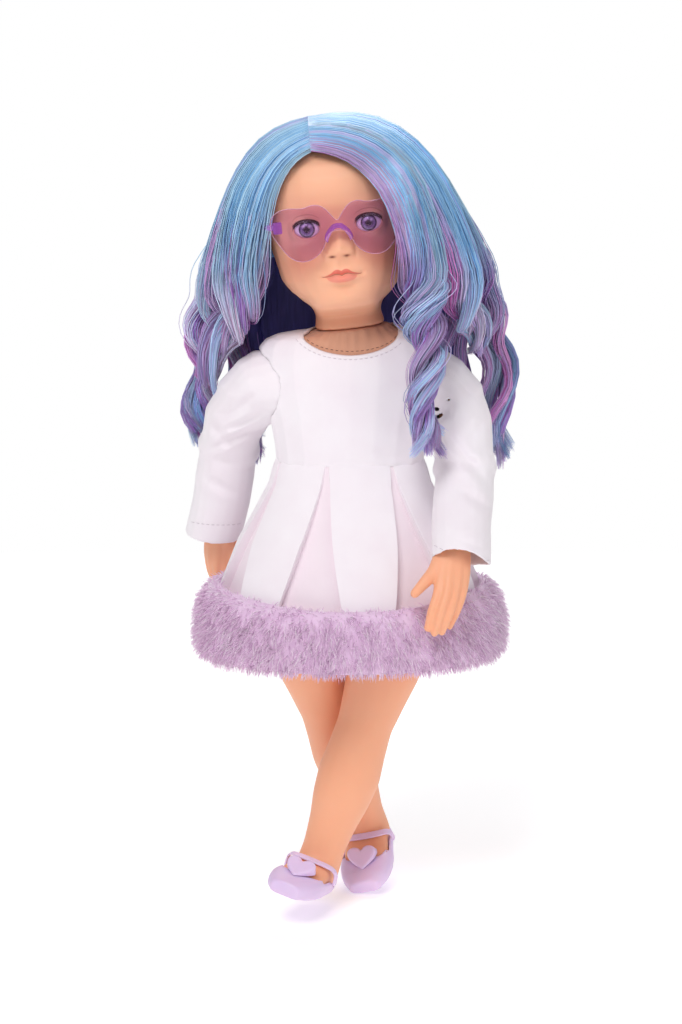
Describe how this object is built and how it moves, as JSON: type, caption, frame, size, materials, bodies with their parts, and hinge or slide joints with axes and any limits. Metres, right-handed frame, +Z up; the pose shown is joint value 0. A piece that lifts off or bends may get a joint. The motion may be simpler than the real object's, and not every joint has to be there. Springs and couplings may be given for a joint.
{
  "type": "vinyl play doll",
  "caption": "Play doll with soft vinyl head and limbs strung to a stuffed cloth body, rooted waved hair, pleated dress with fur hem, strapped shoes and heart sunglasses.",
  "frame": {"origin": "on the floor plane, under the middle of the doll's bounding box", "axes": "+Z up, the doll faces -Y, its own left hand is at +X"},
  "size_m": [0.2042, 0.147, 0.4652],
  "materials": {
    "skin_vinyl": "satin",
    "body_cloth": "matte",
    "stuffing_wool": "matte",
    "nylon_cord": "satin",
    "cup_plastic": "satin",
    "dress_cloth": "matte",
    "fur_plush": "matte",
    "nylon_tape": "matte",
    "shoe_vinyl": "satin",
    "hair_blue": "gloss",
    "hair_violet": "gloss",
    "eye_plastic": "gloss",
    "lash_fibre": "matte",
    "weight_steel": "satin",
    "lens_rose": "gloss",
    "clear_purple": "gloss"
  },
  "bodies": {
    "body": {"back_flap": "dress_cloth", "bodice": "dress_cloth", "fur_hem": "fur_plush", "hook_tape": "nylon_tape", "left_hip_cup": "cup_plastic", "left_shoulder_cup": "cup_plastic", "left_sleeve": "dress_cloth", "loop_tape": "nylon_tape", "neck_tie": "nylon_cord", "right_hip_cup": "cup_plastic", "right_shoulder_cup": "cup_plastic", "right_sleeve": "dress_cloth", "skirt": "dress_cloth", "torso_cover": "body_cloth", "torso_stuffing": "stuffing_wool"},
    "head": {"hair_crown_left": "hair_blue", "hair_crown_right": "hair_blue", "head": "skin_vinyl", "left_eye_housing": "cup_plastic", "right_eye_housing": "cup_plastic", "front_ringlet": "hair_blue", "hair_back": "hair_blue", "left_back_wave": "hair_blue", "left_side_lock": "hair_violet", "left_wave": "hair_blue", "right_back_wave": "hair_blue", "right_side_lock": "hair_violet", "right_wave": "hair_blue"},
    "glasses": {"left_temple": "clear_purple", "lens_front": "lens_rose", "nose_bridge": "clear_purple", "right_temple": "clear_purple"},
    "left_eye": {"left_eye_weight": "weight_steel", "left_eyeball": "eye_plastic", "left_lashes": "lash_fibre"},
    "left_arm": {"left_arm": "skin_vinyl", "left_arm_cord": "nylon_cord"},
    "left_hip": {"left_leg_cord": "nylon_cord"},
    "left_leg": {"left_leg": "skin_vinyl", "left_shoe": "shoe_vinyl", "left_shoe_heart": "shoe_vinyl", "left_strap": "shoe_vinyl"},
    "right_eye": {"right_eye_weight": "weight_steel", "right_eyeball": "eye_plastic", "right_lashes": "lash_fibre"},
    "right_arm": {"right_arm": "skin_vinyl", "right_arm_cord": "nylon_cord"},
    "right_hip": {"right_leg_cord": "nylon_cord"},
    "right_leg": {"right_leg": "skin_vinyl", "right_shoe": "shoe_vinyl", "right_shoe_heart": "shoe_vinyl", "right_strap": "shoe_vinyl"}
  },
  "joints": [
    {"name": "neck_turn", "type": "hinge", "parent": "body", "child": "head", "pos_m": [0.00074, 0.00129, 0.3423], "axis": [-0.1132, 0, 0.9936], "range_deg": [-35, 35], "deforming": ["front_ringlet", "hair_back", "left_back_wave", "left_side_lock", "left_wave", "right_back_wave", "right_side_lock", "right_wave"]},
    {"name": "left_eye_tilt", "type": "hinge", "parent": "head", "child": "left_eye", "pos_m": [0.01118, -0.03502, 0.40438], "axis": [0.9936, 0, 0.1132], "range_deg": [0, 50], "deforming": ["left_lashes"]},
    {"name": "right_eye_tilt", "type": "hinge", "parent": "head", "child": "right_eye", "pos_m": [-0.02339, -0.03502, 0.40044], "axis": [0.9936, 0, 0.1132], "range_deg": [0, 50], "deforming": ["right_lashes"]},
    {"name": "left_arm_swing", "type": "hinge", "parent": "body", "child": "left_arm", "pos_m": [0.05874, 0.00129, 0.3133], "axis": [-1, 0, 0], "range_deg": [-10, 90], "deforming": ["left_sleeve"]},
    {"name": "right_arm_swing", "type": "hinge", "parent": "body", "child": "right_arm", "pos_m": [-0.05726, 0.00129, 0.3133], "axis": [-1, 0, 0], "range_deg": [-20, 130], "deforming": ["right_sleeve"]},
    {"name": "left_leg_swing", "type": "hinge", "parent": "body", "child": "left_hip", "pos_m": [0.03474, 0.00129, 0.1833], "axis": [-1, 0, 0], "range_deg": [0, 62], "deforming": ["left_leg_cord", "skirt", "fur_hem"]},
    {"name": "left_leg_side", "type": "hinge", "parent": "left_hip", "child": "left_leg", "pos_m": [0.03474, 0.00129, 0.1833], "axis": [0, -1, 0], "range_deg": [0, 25]},
    {"name": "right_leg_swing", "type": "hinge", "parent": "body", "child": "right_hip", "pos_m": [-0.03326, 0.00129, 0.1833], "axis": [-1, 0, 0], "range_deg": [-15, 0], "deforming": ["right_leg_cord"]},
    {"name": "right_leg_side", "type": "hinge", "parent": "right_hip", "child": "right_leg", "pos_m": [-0.03326, 0.00129, 0.1833], "axis": [0, 1, 0], "range_deg": [0, 22]},
    {"name": "glasses_pull", "type": "slide", "parent": "head", "child": "glasses", "axis": [0, -1, 0], "range_m": [0, 0.05]}
  ]
}
